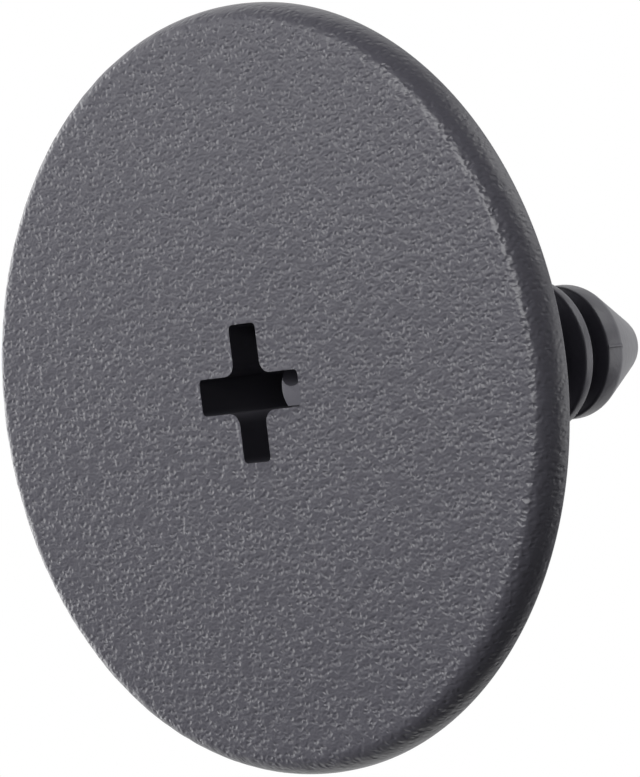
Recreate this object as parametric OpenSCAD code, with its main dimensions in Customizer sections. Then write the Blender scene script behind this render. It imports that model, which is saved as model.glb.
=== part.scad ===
// Push-in clip that holds a floor carpet down.
// One moulding: a thin round head with a cross-shaped key recess in its face,
// and a ribbed shank that is pushed through the carpet into a hole in the floor panel.
// The clip stands on its face: the face is z = 0 and the shank points up.

/* [Head] */
// Diameter of the head
head_d = 30; // [24:0.5:44]
// Thickness of the head
head_t = 1.3; // [1.1:0.1:2.5]
// Straight strip of rim that is left behind the rolled front edge
rim_land = 0.1; // [0.05:0.05:0.5]
// Width of the rolled front edge, measured in from the rim
edge_w = 0.8; // [0.4:0.1:1.5]

/* [Cross recess] */
// Length of the recess from arm end to arm end
cross_span = 5.4; // [4.4:0.1:7]
// Width of an arm
cross_arm_w = 1.45; // [1:0.05:2]
// Radius of the four inner corners
cross_inner_r = 0.5; // [0.1:0.05:0.8]
// Radius of the corners at the arm ends
cross_end_r = 0.2; // [0.05:0.05:0.4]
// Depth of the recess below the face
cross_depth = 5; // [3:0.25:8]

/* [Gate land] */
// Depth of the land below the face
gate_drop = 0.5; // [0.2:0.05:1]
// Length of the land, measured from the arm end
gate_len = 1.45; // [0.8:0.05:1.6]
// Radius of the rounded nose of the land, which is wider than the arm
gate_nose_r = 1.1; // [1.05:0.05:1.6]

/* [Socket boss] */
// Plastic around the arm ends
boss_wall = 1; // [0.6:0.1:2]
// Plastic under the floor of the recess
boss_floor = 1.2; // [0.8:0.1:3]
// Fillet between the boss and the underside of the head
boss_fillet = 0.5; // [0.2:0.1:1]

/* [Shank] */
// Diameter of the plain core between the ribs
core_d = 4.2; // [3:0.1:5]
// Plain core between the boss and the first rib
neck_len = 2.1; // [0.5:0.1:8]

/* [Ribs] */
// Diameter over the ribs
rib_d = 6.6; // [6:0.1:7.2]
// Number of ribs
rib_count = 5; // [2:1:8]
// Distance from one rib to the next
rib_pitch = 2; // [1.4:0.05:3]
// Width of the rim of a rib
rib_rim_w = 0.5; // [0.2:0.05:0.6]
// Width of a rib where it meets the core
rib_root_w = 0.9; // [0.65:0.05:1.2]

/* [Tip] */
// Diameter of the collar at the foot of the tip
collar_d = 5.7; // [5.2:0.1:6.6]
// Length of the straight collar
collar_len = 0.95; // [0.3:0.05:2]
// Angle between the cone and the axis
cone_angle = 28; // [20:1:45]
// Radius of the rounded end
nose_r = 1.45; // [0.5:0.05:1.8]

/* [Hidden] */

plastic = "#606064";
$fn = 96;
overlap = 0.01;

head_r = head_d / 2;
edge_h = head_t - rim_land;
core_r = core_d / 2;
rib_r = rib_d / 2;
collar_r = collar_d / 2;

boss_r = cross_span / 2 + boss_wall;
boss_top = cross_depth + boss_floor;
first_rib_z = boss_top + neck_len;
collar_z = first_rib_z + rib_count * rib_pitch;
cone_z = collar_z + collar_len;

// The rounded end touches the cone where both have the same slope
nose_touch_r = nose_r * cos(cone_angle);
nose_touch_z = cone_z + (collar_r - nose_touch_r) / tan(cone_angle);
nose_centre_z = nose_touch_z - nose_r * sin(cone_angle);

// Half section of the head: a flat plate with its whole front edge rolled over towards the rim.
// The roll is a quarter of an ellipse, so it turns quickly at the face and slowly at the rim.
module head_section() {
    square([head_r - edge_w, head_t]);
    translate([0, edge_h]) square([head_r, rim_land]);
    intersection() {
        translate([head_r - edge_w, edge_h]) scale([edge_w, edge_h]) circle(r = 1);
        translate([head_r - edge_w, 0]) square([edge_w, head_t]);
    }
}

// Half section of the boss behind the head that takes the recess, with a fillet at its foot
module boss_section() {
    square([boss_r, boss_top]);
    difference() {
        square([boss_r + boss_fillet, head_t + boss_fillet]);
        translate([boss_r + boss_fillet, head_t + boss_fillet]) circle(r = boss_fillet);
    }
}

// Half section of the plain core from the boss to the tip
module core_section() {
    square([core_r, collar_z + collar_len]);
}

// Half section of a thin fin: flat face to the head, straight rim, sloped face to the tip
module rib_section() {
    polygon([[0, 0], [rib_r, 0], [rib_r, rib_rim_w], [core_r, rib_root_w], [0, rib_root_w]]);
}

// Half section of the collar, cone and rounded end that lead the clip into its hole
module tip_section() {
    polygon([
        [0, collar_z],
        [collar_r, collar_z],
        [collar_r, cone_z],
        [nose_touch_r, nose_touch_z],
        [0, nose_touch_z]
    ]);
    intersection() {
        translate([0, nose_centre_z]) circle(r = nose_r);
        translate([0, nose_touch_z]) square([nose_r, nose_r]);
    }
}

// The turned form: every half section, spun about the axis of the shank
module turned_form() {
    rotate_extrude() {
        head_section();
        boss_section();
        core_section();
        for (k = [0 : rib_count - 1])
            translate([0, first_rib_z + k * rib_pitch]) rib_section();
        tip_section();
    }
}

// Bar with rounded corners, centred on the axis
module round_bar(length, width, corner_r) {
    square([length - 2 * corner_r, width], center = true);
    square([length, width - 2 * corner_r], center = true);
    for (sx = [-1, 1], sy = [-1, 1])
        translate([sx * (length / 2 - corner_r), sy * (width / 2 - corner_r)]) circle(r = corner_r);
}

// Two crossed bars with fillets in the four inner corners
module cross_outline() {
    round_bar(cross_span, cross_arm_w, cross_end_r);
    rotate(90) round_bar(cross_span, cross_arm_w, cross_end_r);
    for (turn = [0 : 90 : 270])
        rotate(turn) translate([cross_arm_w / 2, cross_arm_w / 2]) difference() {
            square(cross_inner_r);
            translate([cross_inner_r, cross_inner_r]) circle(r = cross_inner_r);
        }
}

// Round-nosed tongue that closes the end of the +X arm just below the face
module gate_outline() {
    nose_x = cross_span / 2 - gate_len;
    translate([nose_x + gate_nose_r, 0]) circle(r = gate_nose_r);
    translate([nose_x + gate_nose_r, -gate_nose_r]) square([gate_len, 2 * gate_nose_r]);
}

// Space taken out of the face: the cross, less the land that stays in it
module cross_recess() {
    difference() {
        translate([0, 0, -overlap]) linear_extrude(cross_depth + overlap) cross_outline();
        translate([0, 0, gate_drop]) linear_extrude(cross_depth) gate_outline();
    }
}

module carpet_clip() {
    color(plastic) difference() {
        turned_form();
        cross_recess();
    }
}

carpet_clip();
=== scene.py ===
# %% [markdown]
# # A carpet clip with a grained head
#
# This clip holds a floor carpet down: the ribbed shank is pushed into a hole, and the thin round head
# presses on the pile. It is one moulding in one dark grey plastic, so the lesson is about one mesh that
# is modelled well and one plastic with two finishes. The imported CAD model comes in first. It fixes the
# size and the place of everything that follows, in metres, with the face of the head on z = 0.

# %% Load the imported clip
from math import acos, cos, hypot, pi, radians, sin, tan

import bmesh
import bpy
from mathutils import Matrix, Vector, noise


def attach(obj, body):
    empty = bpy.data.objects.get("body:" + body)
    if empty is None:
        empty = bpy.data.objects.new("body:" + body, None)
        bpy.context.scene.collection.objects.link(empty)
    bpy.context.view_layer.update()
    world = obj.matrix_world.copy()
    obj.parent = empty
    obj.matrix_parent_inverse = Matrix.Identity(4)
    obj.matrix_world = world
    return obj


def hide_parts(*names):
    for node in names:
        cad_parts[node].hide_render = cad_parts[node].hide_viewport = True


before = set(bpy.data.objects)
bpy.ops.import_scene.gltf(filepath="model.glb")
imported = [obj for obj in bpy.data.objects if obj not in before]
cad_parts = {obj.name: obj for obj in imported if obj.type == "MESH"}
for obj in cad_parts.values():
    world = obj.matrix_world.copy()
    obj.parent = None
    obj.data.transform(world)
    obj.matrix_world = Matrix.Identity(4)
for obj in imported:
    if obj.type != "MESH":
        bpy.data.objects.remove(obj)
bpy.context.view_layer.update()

scene = bpy.context.scene
scene.view_settings.view_transform = "Standard"
MM = 0.001

# %% [markdown]
# ## The camera
#
# The photograph was taken from in front of the head, with the shank running away to the right. A camera
# could be placed by eye, but a few measured things settle it better: how far the shank's axis tilts away
# from the line of sight, where that tilt points in the image, how far the cross is turned, where the
# middle of the face falls in the frame, and the focal length and distance that fit the outline. The clip
# stands on its face here, so this camera looks up at it from below the floor.

# %% Place the camera
image_w, image_h = 640, 777
focal_px = 3713.5
axis_tilt = radians(44.166)
axis_heading = radians(-7.461)
cross_turn = radians(4.68)
face_px = (249.41, 393.22)
face_distance = 143.27 * MM

shank_seen = Vector((sin(axis_tilt) * cos(axis_heading), sin(axis_tilt) * sin(axis_heading), cos(axis_tilt)))
across_seen = Vector((shank_seen.z, 0, -shank_seen.x)).normalized()
down_seen = shank_seen.cross(across_seen)
x_seen = cos(cross_turn) * across_seen - sin(cross_turn) * down_seen
y_seen = sin(cross_turn) * across_seen + cos(cross_turn) * down_seen
from_camera = Matrix((x_seen, y_seen, shank_seen))

face_seen = face_distance * Vector((
    (face_px[0] - image_w / 2) / focal_px,
    (face_px[1] - image_h / 2) / focal_px,
    1,
))
flip_to_blender = Matrix(((1, 0, 0), (0, -1, 0), (0, 0, -1)))

camera = bpy.data.objects.new("camera", bpy.data.cameras.new("camera"))
scene.collection.objects.link(camera)
camera.data.sensor_width = 36
camera.data.lens = camera.data.sensor_width * focal_px / image_h
camera.data.clip_start = 0.01
camera.matrix_world = Matrix.Translation(from_camera @ -face_seen) @ (from_camera @ flip_to_blender).to_4x4()
scene.camera = camera
print("lens in mm:", round(camera.data.lens, 1), "camera at mm:", [round(v / MM, 1) for v in camera.location])

# %% [markdown]
# ## Two finishes of one plastic
#
# Dark grey polypropylene, coloured in the mass. Against polished steel it comes out satin. Against
# spark-eroded steel it comes out dull, because every spark has left a tiny crater that the plastic
# copies. A picture of grain could be wrapped round the head, but a pattern that is worked out in the
# object's own space has no seam and keeps its size in millimetres. The plastic is the same on both, so
# they share one colour, and only the grain and the roughness differ.

# %% Colours and nodes
def linear(hex_colour):
    """Linear RGBA of an sRGB colour such as #606064."""
    shares = [int(hex_colour[k:k + 2], 16) / 255 for k in (1, 3, 5)]
    return [s / 12.92 if s <= 0.04045 else ((s + 0.055) / 1.055) ** 2.4 for s in shares] + [1]


def add_node(tree, kind, inputs, **settings):
    """Adds a node, with its settings, and its inputs as values or as links from sockets."""
    node = tree.nodes.new(kind)
    for name, value in settings.items():
        setattr(node, name, value)
    for name, value in inputs.items():
        if isinstance(value, bpy.types.NodeSocket):
            tree.links.new(value, node.inputs[name])
        else:
            node.inputs[name].default_value = value
    return node


def new_tree(holder):
    """The emptied node tree of a material or world."""
    holder.use_nodes = True
    holder.node_tree.nodes.clear()
    return holder.node_tree


def per_metre(size_mm):
    """Texture scale at which a pattern repeats about every size_mm."""
    return 1 / (size_mm * MM)


plastic_hex = "#5a5961"
print("plastic in linear light:", [round(c, 3) for c in linear(plastic_hex)[:3]])

# %% Grain-moulded polypropylene
# Moulded on spark-eroded steel: dull, with soft shallow craters whose edges catch the light as specks.
# The grain dies down on the rolled edge, where the steel was cut smoother. It is drawn out a little
# across the face, and its grit is drawn as coarse as it needs to be to show.
head_r, edge_w = 15.0, 0.8
flat_r = head_r - edge_w
edge_grain = 0.35
grain_draw = (0.85, 1.15, 1.0)
swirl_size, swirl_push = 0.3, 0.15
crater_size, crater_blend, crater_reach, crater_depth = 0.26, 0.25, 0.6, 0.038
grit_size, grit_depth = 0.13, 0.022
plastic_ior, grained_roughness = 1.49, 0.36

grained = bpy.data.materials.new("grain_moulded_polypropylene")
tree = new_tree(grained)
place = add_node(tree, "ShaderNodeTexCoord", {}).outputs["Object"]
reach = add_node(tree, "ShaderNodeVectorMath", {0: place}, operation="LENGTH")
depth = add_node(tree, "ShaderNodeMapRange", {
    "Value": reach.outputs["Value"], "From Min": flat_r * MM, "From Max": head_r * MM,
    "To Min": 1.0, "To Max": edge_grain}).outputs["Result"]
drawn = add_node(tree, "ShaderNodeVectorMath", {0: place, 1: grain_draw},
                 operation="MULTIPLY").outputs["Vector"]
swirl = add_node(tree, "ShaderNodeTexNoise", {"Vector": drawn, "Scale": per_metre(swirl_size), "Detail": 1.0})
warped = add_node(tree, "ShaderNodeVectorMath", {
    0: swirl.outputs["Color"], 1: [swirl_push * MM] * 3, 2: drawn},
    operation="MULTIPLY_ADD").outputs["Vector"]
craters = add_node(tree, "ShaderNodeTexVoronoi", {
    "Vector": warped, "Scale": per_metre(crater_size), "Smoothness": crater_blend}, feature="SMOOTH_F1")
walls = add_node(tree, "ShaderNodeMapRange", {
    "Value": craters.outputs["Distance"], "From Max": crater_reach}, interpolation_type="SMOOTHSTEP")
crater_bump = add_node(tree, "ShaderNodeBump", {
    "Height": walls.outputs["Result"], "Strength": depth, "Distance": crater_depth * MM})
grit = add_node(tree, "ShaderNodeTexNoise", {"Vector": warped, "Scale": per_metre(grit_size), "Detail": 0.0})
grit_bump = add_node(tree, "ShaderNodeBump", {
    "Height": grit.outputs["Fac"], "Strength": depth, "Distance": grit_depth * MM,
    "Normal": crater_bump.outputs["Normal"]})
surface = add_node(tree, "ShaderNodeBsdfPrincipled", {
    "Base Color": linear(plastic_hex), "Roughness": grained_roughness, "IOR": plastic_ior,
    "Normal": grit_bump.outputs["Normal"]})
add_node(tree, "ShaderNodeOutputMaterial", {"Surface": surface.outputs["BSDF"]})
print("grain: craters of", crater_size, "mm and grit of", grit_size, "mm")

# %% Polish-moulded polypropylene
# Moulded on polished steel: satin, with a faint waviness where the melt flowed and shrank.
flow_size, flow_depth = 0.4, 0.02
polished_roughness = 0.4

smooth = bpy.data.materials.new("polish_moulded_polypropylene")
tree = new_tree(smooth)
place = add_node(tree, "ShaderNodeTexCoord", {}).outputs["Object"]
flow = add_node(tree, "ShaderNodeTexNoise", {"Vector": place, "Scale": per_metre(flow_size), "Detail": 3.0})
flow_bump = add_node(tree, "ShaderNodeBump", {
    "Height": flow.outputs["Fac"], "Strength": 1.0, "Distance": flow_depth * MM})
surface = add_node(tree, "ShaderNodeBsdfPrincipled", {
    "Base Color": linear(plastic_hex), "Roughness": polished_roughness, "IOR": plastic_ior,
    "Normal": flow_bump.outputs["Normal"]})
add_node(tree, "ShaderNodeOutputMaterial", {"Surface": surface.outputs["BSDF"]})

GRAINED, SMOOTH = 0, 1
finishes = [grained, smooth]
print("finishes:", [finish.name for finish in finishes])

# %% [markdown]
# ## The face of the head
#
# The face is a flat disc whose edge rolls over to the rim in a quarter of an ellipse. A spun profile
# would give cells that shrink to slivers at the middle, which grain can't be modelled on. So a square
# grid is laid out instead, and its squares are pushed out to circles: every cell keeps about the same
# area, and the skin is fine enough everywhere to carry the coarse part of the grain as real shape. Work
# goes on in millimetres, and the finished mesh is scaled to metres once.

# %% Roll a square grid over the head
head_t, rim_land = 1.3, 0.1
edge_h = head_t - rim_land
roll_len = pi / 4 * (3 * (edge_w + edge_h) - ((3 * edge_w + edge_h) * (edge_w + 3 * edge_h)) ** 0.5)
skin_reach = flat_r + roll_len
skin_cells = 264


def square_to_disc(u, v):
    """Distance from the middle and angle on the disc of a point of the square from -1 to 1."""
    if abs(u) > abs(v):
        return abs(u), pi / 4 * v / u + (pi if u < 0 else 0)
    return abs(v), pi / 2 - (pi / 4 * u / v if v else 0) + (pi if v < 0 else 0)


clip = bmesh.new()
bmesh.ops.create_grid(clip, x_segments=skin_cells, y_segments=skin_cells, size=1)
for point in clip.verts:
    reach, angle = square_to_disc(point.co.x, point.co.y)
    along = reach * skin_reach
    turn = max(0, along - flat_r) / roll_len * pi / 2
    radius = min(along, flat_r) + edge_w * sin(turn)
    point.co = (radius * cos(angle), radius * sin(angle), edge_h * (1 - cos(turn)))
print("skin:", len(clip.faces), "faces, cells of about", round(2 * skin_reach / skin_cells, 3), "mm")

# %% [markdown]
# ## The rim and the back
#
# Behind the roll-over the rim has a narrow straight strip, and then the head is flat at the back. The
# open edge of the skin is a ring already, so it is extruded upwards for the strip and inwards for the
# start of the back. The corner between them gets a very small bevel, as a mould's parting edge has.

# %% Extrude the rim and turn it in
back_step = 0.4
rim_break = 0.03
touching = 0.001


def verts_in(geometry):
    """The vertices among the geometry that an operator made."""
    return [item for item in geometry if isinstance(item, bmesh.types.BMVert)]


skin_edge = [edge for edge in clip.edges if edge.is_boundary]
strip = bmesh.ops.extrude_edge_only(clip, edges=skin_edge)["geom"]
bmesh.ops.translate(clip, vec=(0, 0, rim_land), verts=verts_in(strip))
strip_edge = [edge for edge in clip.edges if edge.is_boundary]
turned_in = bmesh.ops.extrude_edge_only(clip, edges=strip_edge)["geom"]
inward = (head_r - back_step) / head_r
bmesh.ops.scale(clip, vec=(inward, inward, 1), verts=verts_in(turned_in))
for face in clip.faces:
    face.material_index = SMOOTH if max(v.co.z for v in face.verts) > edge_h + touching else GRAINED
bmesh.ops.bevel(clip, geom=strip_edge, offset=rim_break, segments=2, profile=0.5,
                affect="EDGES", material=-1)
print("rim: ring of", len(skin_edge), "edges")

# %% [markdown]
# ## The shank
#
# The shank is turned: a socket boss behind the head, a plain core, a row of thin ribs that bend as they
# go through the hole, and a collar with a cone that finds the hole. Ribs could be stacked from separate
# discs, but one outline spun round the axis gives one clean skin, as the moulded part has. The corners
# of the outline are bevelled after the spin, most of them by about a tenth of a millimetre.

# %% Spin the outline of the shank
boss_r, boss_top, boss_fillet = 3.7, 6.2, 0.5
core_r = 2.1
rib_r, rib_count, rib_pitch, rib_rim_w, rib_root_w = 3.3, 5, 2.0, 0.5, 0.9
first_rib_z = 8.3
collar_r, collar_len = 2.85, 0.95
collar_z = first_rib_z + rib_count * rib_pitch
cone_z = collar_z + collar_len
cone_angle = radians(28)
nose_r = 1.45
turn_steps = 120

touch_r = nose_r * cos(cone_angle)
touch_z = cone_z + (collar_r - touch_r) / tan(cone_angle)
nose_z = touch_z - nose_r * sin(cone_angle)
rib_starts = [first_rib_z + k * rib_pitch for k in range(rib_count)]
foot_r = boss_r + 2 * boss_fillet

outline = [(foot_r, head_t), (boss_r, head_t), (boss_r, boss_top), (core_r, boss_top)]
for z in rib_starts:
    outline += [(core_r, z), (rib_r, z), (rib_r, z + rib_rim_w), (core_r, z + rib_root_w)]
outline += [(core_r, collar_z), (collar_r, collar_z), (collar_r, cone_z)]
nose_steps = 8
for k in range(nose_steps + 1):
    climb = cone_angle + (pi / 2 - cone_angle) * k / nose_steps
    outline.append((nose_r * cos(climb), nose_z + nose_r * sin(climb)))

shank = bmesh.new()
points = [shank.verts.new((r, 0, z)) for r, z in outline]
lines = [shank.edges.new(pair) for pair in zip(points, points[1:])]
bmesh.ops.spin(shank, geom=points + lines, cent=(0, 0, 0), axis=(0, 0, 1), dvec=(0, 0, 0),
               angle=2 * pi, steps=turn_steps, use_merge=True)
bmesh.ops.remove_doubles(shank, verts=shank.verts, dist=touching / 2)
print("shank: outline of", len(outline), "points, tip at", round(nose_z + nose_r, 2), "mm")

# %% Break the corners of the shank
shoulder_round, root_round, cone_round = 0.15, 0.12, 0.15
rim_head_round, rim_tip_round = 0.14, 0.05


def ring(form, radius, height):
    """Edges that run round the axis at this radius and height."""
    def on_ring(point):
        off_radius = abs(hypot(point.co.x, point.co.y) - radius)
        return off_radius < touching and abs(point.co.z - height) < touching
    return [edge for edge in form.edges if all(on_ring(point) for point in edge.verts)]


# Width of each bevel, the steps in it, and the radius and height of the rings that get it
corners = [
    (boss_fillet, 5, [(boss_r, head_t)]),
    (shoulder_round, 3, [(boss_r, boss_top), (core_r, boss_top)]),
    (root_round, 3, [(core_r, z) for z in rib_starts + [collar_z]]),
    (root_round, 2, [(core_r, z + rib_root_w) for z in rib_starts]),
    (rim_head_round, 4, [(rib_r, z) for z in rib_starts] + [(collar_r, collar_z)]),
    (rim_tip_round, 2, [(rib_r, z + rib_rim_w) for z in rib_starts]),
    (cone_round, 3, [(collar_r, cone_z)]),
]
for offset, segments, places in corners:
    edges = [edge for place in places for edge in ring(shank, *place)]
    bmesh.ops.bevel(shank, geom=edges, offset=offset, segments=segments, profile=0.5,
                    affect="EDGES", material=-1)
for face in shank.faces:
    face.material_index = SMOOTH
print("bevelled rings:", sum(len(places) for _, _, places in corners), "faces:", len(shank.faces))

# %% [markdown]
# ## One closed skin
#
# The head and the shank are still two open shells: a ring at the rim's back and a ring at the foot of
# the boss. Filling between them by hand would mean a list of faces for two rings of different counts.
# The bridge operator does it, and the mesh is closed. Closed matters, because the recess is cut with a
# Boolean next, which needs an inside and an outside.

# %% Bridge the head to the shank
def make_object(name, form, materials):
    """Puts a bmesh in a new object of the scene."""
    mesh = bpy.data.meshes.new(name)
    for material in materials:
        mesh.materials.append(material)
    form.to_mesh(mesh)
    form.free()
    made = bpy.data.objects.new(name, mesh)
    scene.collection.objects.link(made)
    return made


shank_mesh = bpy.data.meshes.new("shank")
shank.to_mesh(shank_mesh)
shank.free()
clip.from_mesh(shank_mesh)
bpy.data.meshes.remove(shank_mesh)
open_rings = [edge for edge in clip.edges if edge.is_boundary]
bridge = bmesh.ops.bridge_loops(clip, edges=open_rings)
for face in bridge["faces"]:
    face.material_index = SMOOTH
bmesh.ops.recalc_face_normals(clip, faces=clip.faces)
print("open edges left:", sum(edge.is_boundary for edge in clip.edges),
      "volume mm3:", round(clip.calc_volume(), 1))
moulding = make_object("carpet_clip_moulding", clip, finishes)

# %% [markdown]
# ## The cross recess and its gate land
#
# A cross-shaped key turns or lifts the clip by this recess. The pin that forms it in the mould is
# modelled as a solid: a three by three grid without its corners is a cross, which is extruded and gets
# its corners rounded. The +X arm is shallower at its end, where the plastic entered the mould and the
# sprue was broken off. So a round plug is taken off the pin there first, and the plug itself has a torn
# pit and a fine crevice along one wall. The pin is then taken out of the head. Cutting a tool out of a
# tool keeps every step a simple solid.

# %% Make the pin of the cross
cross_span, cross_arm_w, cross_depth = 5.4, 1.45, 5.0
cross_inner_r, cross_end_r = 0.5, 0.2
gate_drop, gate_len, gate_nose_r = 0.5, 1.45, 1.1
pin_start = -0.4
pin_cells = 3

# The grid's inner lines lie at a third of its half width, and move to the sides of the arms.
# Its outer lines move to the ends of the arms.
pin = bmesh.new()
bmesh.ops.create_grid(pin, x_segments=pin_cells, y_segments=pin_cells, size=1)
for point in pin.verts:
    x, y = (side * (cross_span if abs(side) > 0.5 else cross_arm_w * pin_cells) / 2 for side in point.co.xy)
    point.co = (x, y, pin_start)
corner_faces = [
    face for face in pin.faces
    if min(abs(side) for side in face.calc_center_median().xy) > cross_arm_w / 2
]
bmesh.ops.delete(pin, geom=corner_faces, context="FACES")
bmesh.ops.dissolve_faces(pin, faces=pin.faces)
top = bmesh.ops.extrude_face_region(pin, geom=pin.faces[:])["geom"]
bmesh.ops.translate(pin, vec=(0, 0, cross_depth - pin_start), verts=verts_in(top))
bmesh.ops.recalc_face_normals(pin, faces=pin.faces)
for offset, segments, inner in ((cross_inner_r, 8, True), (cross_end_r, 4, False)):
    uprights = [
        edge for edge in pin.edges
        if abs(edge.verts[0].co.z - edge.verts[1].co.z) > cross_depth / 2
        and (max(abs(side) for side in edge.verts[0].co.xy) < cross_arm_w) == inner
    ]
    bmesh.ops.bevel(pin, geom=uprights, offset=offset, segments=segments, profile=0.5,
                    affect="EDGES", material=-1)
for face in pin.faces:
    face.material_index = SMOOTH
print("pin: faces", len(pin.faces), "volume mm3", round(pin.calc_volume(), 1))
cross_pin = make_object("cross_pin", pin, finishes)

# %% Cut the gate land off the pin and the pin out of the head
nose_round = 0.08
scar_place, scar_r, scar_floor_r, scar_depth = (1.86, -0.43), 0.36, 0.24, 0.7
scar_stretch, scar_overlap = 1.4, 0.1
crevice_half_w, crevice_half_depth = 0.06, 0.25
plug_sides = 96


def round_plug(name, centre, low, high, low_r, high_r, low_round=0, stretch=1):
    """A round or tapered plug along z, drawn out along x, with its lower edge rounded if asked."""
    plug = bmesh.new()
    bmesh.ops.create_cone(plug, cap_ends=True, segments=plug_sides,
                          radius1=low_r, radius2=high_r, depth=high - low)
    if low_round:
        low_edge = ring(plug, low_r, (low - high) / 2)
        bmesh.ops.bevel(plug, geom=low_edge, offset=low_round, segments=3, profile=0.5,
                        affect="EDGES", material=-1)
    bmesh.ops.scale(plug, vec=(stretch, 1, 1), verts=plug.verts)
    bmesh.ops.translate(plug, vec=(*centre, (low + high) / 2), verts=plug.verts)
    for face in plug.faces:
        face.material_index = SMOOTH
    return make_object(name, plug, finishes)


def cut(target, tool):
    """Takes the tool's solid out of the target, and removes the tool."""
    step = target.modifiers.new("cut", "BOOLEAN")
    step.operation, step.solver, step.object = "DIFFERENCE", "EXACT", tool
    graph = bpy.context.evaluated_depsgraph_get()
    target.data = bpy.data.meshes.new_from_object(target.evaluated_get(graph))
    target.modifiers.remove(step)
    bpy.data.objects.remove(tool)


gate_centre = (cross_span / 2 - gate_len + gate_nose_r, 0)
gate_plug = round_plug("gate_plug", gate_centre, gate_drop, gate_drop + cross_depth,
                       gate_nose_r, gate_nose_r, low_round=nose_round)
scar = round_plug("gate_scar", scar_place, gate_drop - scar_overlap, gate_drop + scar_depth,
                  scar_r, scar_floor_r, stretch=scar_stretch)
slit = bmesh.new()
bmesh.ops.create_cube(slit, size=2)
bmesh.ops.scale(slit, vec=(gate_nose_r, crevice_half_w, crevice_half_depth), verts=slit.verts)
bmesh.ops.translate(slit, vec=(gate_centre[0], cross_arm_w / 2, gate_drop), verts=slit.verts)
for face in slit.faces:
    face.material_index = SMOOTH
crevice = make_object("gate_crevice", slit, finishes)
cut(gate_plug, scar)
cut(gate_plug, crevice)
cut(cross_pin, gate_plug)
cut(moulding, cross_pin)
print("after the cuts:", len(moulding.data.polygons), "faces",
      [sum(p.material_index == k for p in moulding.data.polygons) for k in (GRAINED, SMOOTH)])

# %% [markdown]
# ## The coarse grain
#
# The face was moulded against spark-eroded steel, so under its fine craters it is softly uneven, with
# dimples about half a millimetre across. A bump map alone would leave the mesh flat, so this coarse part
# of the grain is real: each point of the skin is pushed in along its own normal by a smooth noise, by a
# few hundredths of a millimetre at most. The push fades out at the mouth of the recess, where the steel
# pin stood, and over the rolled edge.

# %% Push the dimples into the skin
grain_size = 0.5
grain_depth = 0.05
mouth_fade = (0.04, 0.3)
roll_fade = radians(80)


def smooth_step(low, high, value):
    """Eased share of the way that a value has come from low to high."""
    share = min(1, max(0, (value - low) / (high - low)))
    return share * share * (3 - 2 * share)


def from_cross(x, y):
    """Rough distance of a point of the face from the mouth of the recess."""
    long, wide = cross_span / 2, cross_arm_w / 2
    return max(0, min(max(abs(x) - long, abs(y) - wide), max(abs(x) - wide, abs(y) - long)))


form = bmesh.new()
form.from_mesh(moulding.data)
pushed = 0
for point in form.verts:
    if any(face.material_index != GRAINED for face in point.link_faces):
        continue
    x, y, z = point.co
    radius = hypot(x, y)
    turn = acos(max(-1, 1 - z / edge_h)) if radius > flat_r else 0
    out = Vector((x, y, 0)).normalized() * sin(turn) / edge_w + Vector((0, 0, -cos(turn) / edge_h))
    pit = 0.5 - noise.noise(point.co / grain_size) / 2
    fade = smooth_step(*mouth_fade, from_cross(x, y)) * smooth_step(0, roll_fade, pi / 2 - turn)
    point.co -= out.normalized() * grain_depth * pit * fade
    pushed += 1
print("points pushed:", pushed)

# %% [markdown]
# ## The parting line
#
# The two halves of the mould that form the shank meet in the plane of the gate, and leave a hair-fine
# ridge on either side of the collar. A thin strip could be laid on top, but then it would be a second
# shell. Here one column of edges of the turned mesh is split by a bevel into a narrow band, and the
# middle of the band is pulled out.

# %% Raise the parting line
ridge, ridge_half_w = 0.035, 0.04
ridge_low, ridge_high = collar_z + 0.1, cone_z + 0.1
ridge_min_r = core_r + 0.2


def on_parting(point):
    """Whether a point lies on the collar, in the plane of the parting line."""
    x, y, z = point.co
    return abs(y) < touching and abs(x) > ridge_min_r and ridge_low < z < ridge_high


column = [edge for edge in form.edges if all(on_parting(point) for point in edge.verts)]
bmesh.ops.bevel(form, geom=column, offset=ridge_half_w, segments=2, profile=0.5, affect="EDGES", material=-1)
crest = [point for point in form.verts if on_parting(point)]
for point in crest:
    point.co.x += ridge if point.co.x > 0 else -ridge
print("parting line:", len(column), "edges split,", len(crest), "points raised")

# %% [markdown]
# ## Ready to ride
#
# The mesh is finished: it is scaled to metres, every face is smooth, and edges sharper than a bevel's step
# are marked so that they stay crisp. The piece takes the place of the CAD node, which is hidden, and rides on
# the part's one body.

# %% Finish the moulding
crease = radians(50)
bmesh.ops.scale(form, vec=(MM, MM, MM), verts=form.verts)
for face in form.faces:
    face.smooth = True
for edge in form.edges:
    edge.smooth = len(edge.link_faces) != 2 or edge.calc_face_angle() < crease
form.to_mesh(moulding.data)
form.free()
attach(moulding, "root")
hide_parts("carpet_clip")
moulding.data.calc_loop_triangles()
print("moulding:", len(moulding.data.loop_triangles), "triangles")

# %% [markdown]
# ## Floor, light and backdrop
#
# A plain pale floor lies just under the face. From above it is an ordinary floor with the clip's shadow
# on it, which runs out into white like a studio sweep. The photograph looks up from below, so the floor
# lets everything through that doesn't come from a camera above it.
#
# The light is a soft studio set: one broad lamp before the face, a weak one beside it that rakes over the
# grain, one behind on the left, and two on the right for the rim and the shank. Each lamp's strength is
# given as the share of full white that it alone would give a card that faces it. Behind the clip hangs
# a white backdrop, which the camera and the gloss see as plain white, and which lights the back of the
# clip and the floor softly.

# %% Floor
floor_r = 0.25
floor_drop = 0.1 * MM
sweep_start, sweep_end = 0.05, 0.2
floor_sides = 64
floor_hex, white_hex = "#f0f0f0", "#ffffff"

floor_form = bmesh.new()
bmesh.ops.create_circle(floor_form, cap_ends=True, segments=floor_sides, radius=floor_r)
bmesh.ops.translate(floor_form, vec=(0, 0, -floor_drop), verts=floor_form.verts)
pale = bpy.data.materials.new("pale_floor")
floor = make_object("floor", floor_form, [pale])

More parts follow.
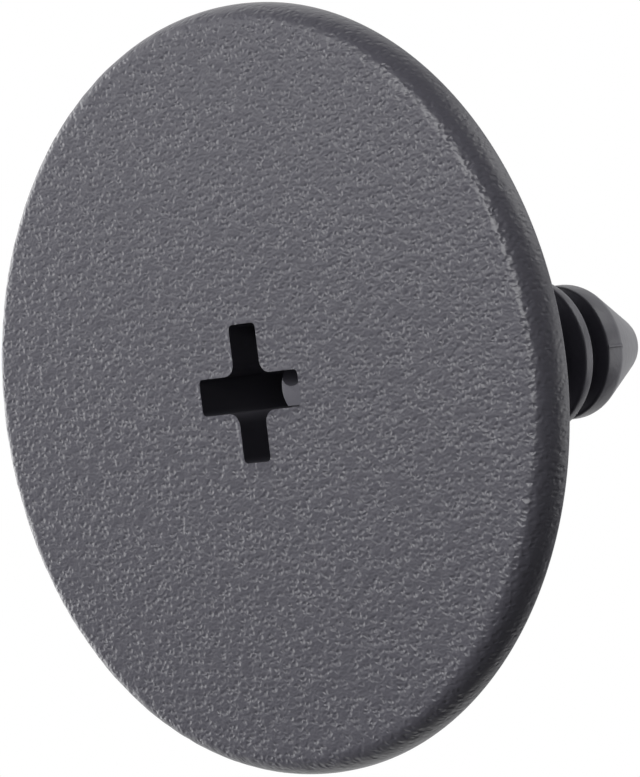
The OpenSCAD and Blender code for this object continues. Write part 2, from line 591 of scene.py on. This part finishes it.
tree = new_tree(pale)
place = add_node(tree, "ShaderNodeTexCoord", {}).outputs["Object"]
reach = add_node(tree, "ShaderNodeVectorMath", {0: place}, operation="LENGTH")
sweep = add_node(tree, "ShaderNodeMapRange", {
    "Value": reach.outputs["Value"], "From Min": sweep_start, "From Max": sweep_end},
    interpolation_type="SMOOTHSTEP")
paint = add_node(tree, "ShaderNodeBsdfDiffuse", {"Color": linear(floor_hex)})
white = add_node(tree, "ShaderNodeEmission", {"Color": linear(white_hex), "Strength": 1.0})
lit = add_node(tree, "ShaderNodeMixShader", {
    0: sweep.outputs["Result"], 1: paint.outputs[0], 2: white.outputs[0]})

ray = add_node(tree, "ShaderNodeLightPath", {})
side = add_node(tree, "ShaderNodeNewGeometry", {})
seen = add_node(tree, "ShaderNodeMath", {0: ray.outputs["Is Camera Ray"], 1: side.outputs["Backfacing"]},
                operation="SUBTRACT", use_clamp=True)
clear = add_node(tree, "ShaderNodeBsdfTransparent", {})
mixed = add_node(tree, "ShaderNodeMixShader", {0: seen.outputs[0], 1: clear.outputs[0], 2: lit.outputs[0]})
add_node(tree, "ShaderNodeOutputMaterial", {"Surface": mixed.outputs[0]})
print("floor:", 2 * floor_r, "m across")

# %% Lamps
# Name, direction from the clip in the camera's right, down and away, distance and size in mm, and share
lamps = [
    ("left_front_lamp", (-1.0, -0.25, -0.8), 160, 110, 0.87),
    ("left_side_lamp", (-1.0, -0.35, 0.0), 160, 110, 0.13),
    ("left_back_lamp", (-1.0, 0.1, 1.0), 250, 200, 0.38),
    ("right_lamp", (1.0, 0.0, 0.0), 250, 180, 0.29),
    ("top_right_lamp", (1.0, -1.0, 0.0), 250, 180, 0.35),
]
for name, seen_from, distance, size, share in lamps:
    lamp = bpy.data.objects.new(name, bpy.data.lights.new(name, "AREA"))
    lamp.data.shape, lamp.data.size = "DISK", size * MM
    lamp.data.energy = share * (pi * distance * MM) ** 2
    toward = (from_camera @ Vector(seen_from)).normalized()
    lamp.matrix_world = (Matrix.Translation(toward * distance * MM)
                         @ toward.to_track_quat("Z", "Y").to_matrix().to_4x4())
    scene.collection.objects.link(lamp)
print("lamps:", [name for name, *_ in lamps])

# %% World
room_light, backdrop_light = 0.02, 0.6
backdrop_edge = (0.2, 0.6)

world = bpy.data.worlds.new("studio")
scene.world = world
tree = new_tree(world)
toward = add_node(tree, "ShaderNodeTexCoord", {}).outputs["Generated"]
behind = add_node(tree, "ShaderNodeVectorMath", {0: toward, 1: from_camera @ Vector((0, 0, 1))},
                  operation="DOT_PRODUCT").outputs["Value"]
backdrop = add_node(tree, "ShaderNodeMapRange", {
    "Value": behind, "From Min": backdrop_edge[0], "From Max": backdrop_edge[1]},
    interpolation_type="SMOOTHSTEP")
light = add_node(tree, "ShaderNodeMapRange", {
    "Value": backdrop.outputs["Result"], "To Min": room_light, "To Max": backdrop_light})
room = add_node(tree, "ShaderNodeBackground", {
    "Color": linear(white_hex), "Strength": light.outputs["Result"]})
white = add_node(tree, "ShaderNodeBackground", {"Color": linear(white_hex), "Strength": 1.0})

ray = add_node(tree, "ShaderNodeLightPath", {})
gloss = add_node(tree, "ShaderNodeMath", {0: ray.outputs["Is Glossy Ray"], 1: backdrop.outputs["Result"]},
                 operation="MULTIPLY")
straight = add_node(tree, "ShaderNodeMath", {
    0: ray.outputs["Is Camera Ray"], 1: ray.outputs["Is Transmission Ray"]}, operation="MAXIMUM")
seen = add_node(tree, "ShaderNodeMath", {0: straight.outputs[0], 1: gloss.outputs[0]}, operation="MAXIMUM")
mixed = add_node(tree, "ShaderNodeMixShader", {0: seen.outputs[0], 1: room.outputs[0], 2: white.outputs[0]})
add_node(tree, "ShaderNodeOutputWorld", {"Surface": mixed.outputs[0]})
print("world: room at", room_light, "and backdrop at", backdrop_light, "of full white")
